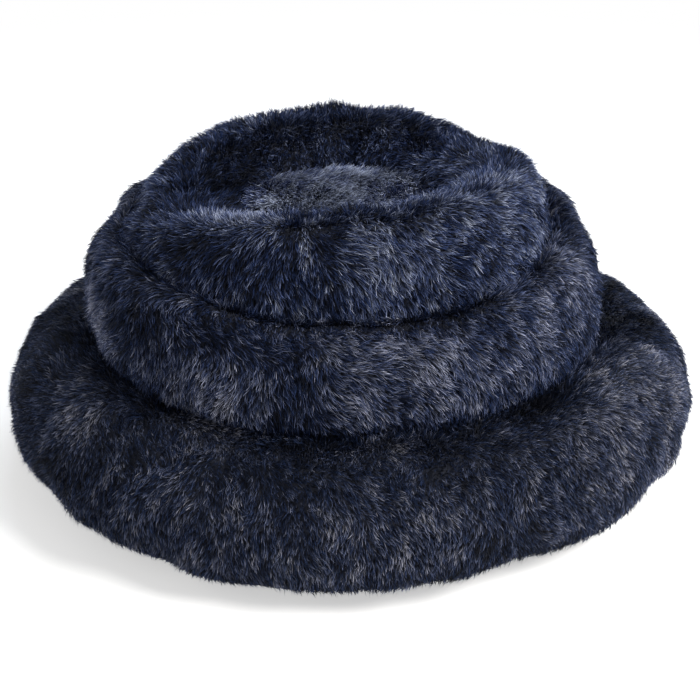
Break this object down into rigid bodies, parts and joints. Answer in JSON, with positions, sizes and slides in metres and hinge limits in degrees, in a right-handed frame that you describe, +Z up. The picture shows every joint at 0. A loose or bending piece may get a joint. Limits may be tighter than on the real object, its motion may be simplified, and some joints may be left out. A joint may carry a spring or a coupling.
{
  "type": "nested round pet bed set",
  "caption": "Round plush pet beds in graded sizes, nested in a stack; each is a padded ring round a soft centre pad, and each lifts off the one below.",
  "frame": {"origin": "on the floor, under the middle of the large bed", "axes": "+Z up; -Y is the side that faces the camera in the picture; +X to the right in it"},
  "size_m": [0.784, 0.7839, 0.3538],
  "materials": {
    "plush": "long-pile plush, navy with frosted tips",
    "plush_pad": "long-pile plush, navy with frosted tips, brushed upright",
    "fibre_filling": "loose polyester fibre",
    "base_cloth": "matte woven cloth",
    "zip_tape": "matte woven tape",
    "zip_metal": "plated, slightly worn"
  },
  "bodies": {
    "large_bed": {"large_ring_panel_1": "plush", "large_ring_panel_2": "plush", "large_ring_panel_3": "plush", "large_ring_panel_4": "plush", "large_ring_filling": "fibre_filling", "large_centre_panel": "plush_pad", "large_centre_filling": "fibre_filling", "large_base_cloth": "base_cloth", "large_zip_tape_back": "zip_tape", "large_zip_tape_front": "zip_tape", "large_zip_top_stop": "zip_metal", "large_zip_bottom_stop": "zip_metal"},
    "large_zip_slider": {"large_zip_slider": "zip_metal"},
    "large_zip_pull": {"large_zip_pull": "zip_metal"},
    "medium_bed": {"medium_ring_panel_1": "plush", "medium_ring_panel_2": "plush", "medium_ring_panel_3": "plush", "medium_ring_panel_4": "plush", "medium_ring_filling": "fibre_filling", "medium_centre_panel": "plush_pad", "medium_centre_filling": "fibre_filling", "medium_base_cloth": "base_cloth", "medium_zip_tape_back": "zip_tape", "medium_zip_tape_front": "zip_tape", "medium_zip_top_stop": "zip_metal", "medium_zip_bottom_stop": "zip_metal"},
    "medium_zip_slider": {"medium_zip_slider": "zip_metal"},
    "medium_zip_pull": {"medium_zip_pull": "zip_metal"},
    "small_bed": {"small_ring_panel_1": "plush", "small_ring_panel_2": "plush", "small_ring_panel_3": "plush", "small_ring_panel_4": "plush", "small_ring_filling": "fibre_filling", "small_centre_panel": "plush_pad", "small_centre_filling": "fibre_filling", "small_base_cloth": "base_cloth", "small_zip_tape_back": "zip_tape", "small_zip_tape_front": "zip_tape", "small_zip_top_stop": "zip_metal", "small_zip_bottom_stop": "zip_metal"},
    "small_zip_slider": {"small_zip_slider": "zip_metal"},
    "small_zip_pull": {"small_zip_pull": "zip_metal"}
  },
  "joints": [
    {"name": "medium_bed_lift", "type": "slide", "parent": "large_bed", "child": "medium_bed", "axis": [0, 0, 1], "range_m": [0, 0.25]},
    {"name": "small_bed_lift", "type": "slide", "parent": "medium_bed", "child": "small_bed", "axis": [0, 0, 1], "range_m": [0, 0.2]},
    {"name": "large_zip_run", "type": "slide", "parent": "large_bed", "child": "large_zip_slider", "axis": [-1, 0, 0], "range_m": [0, 0.2788]},
    {"name": "large_pull_swing", "type": "hinge", "parent": "large_zip_slider", "child": "large_zip_pull", "pos_m": [0.1444, 0.064, 0.0038], "axis": [0, -1, 0], "range_deg": [0, 150]},
    {"name": "medium_zip_run", "type": "slide", "parent": "medium_bed", "child": "medium_zip_slider", "axis": [-1, 0, 0], "range_m": [0, 0.1688]},
    {"name": "medium_pull_swing", "type": "hinge", "parent": "medium_zip_slider", "child": "medium_zip_pull", "pos_m": [0.0814, 0.048, 0.1411], "axis": [0, -1, 0], "range_deg": [-88, 60]},
    {"name": "small_zip_run", "type": "slide", "parent": "small_bed", "child": "small_zip_slider", "axis": [-1, 0, 0], "range_m": [0, 0.1288]},
    {"name": "small_pull_swing", "type": "hinge", "parent": "small_zip_slider", "child": "small_zip_pull", "pos_m": [0.0554, 0.036, 0.2161], "axis": [0, -1, 0], "range_deg": [-88, 60]}
  ]
}
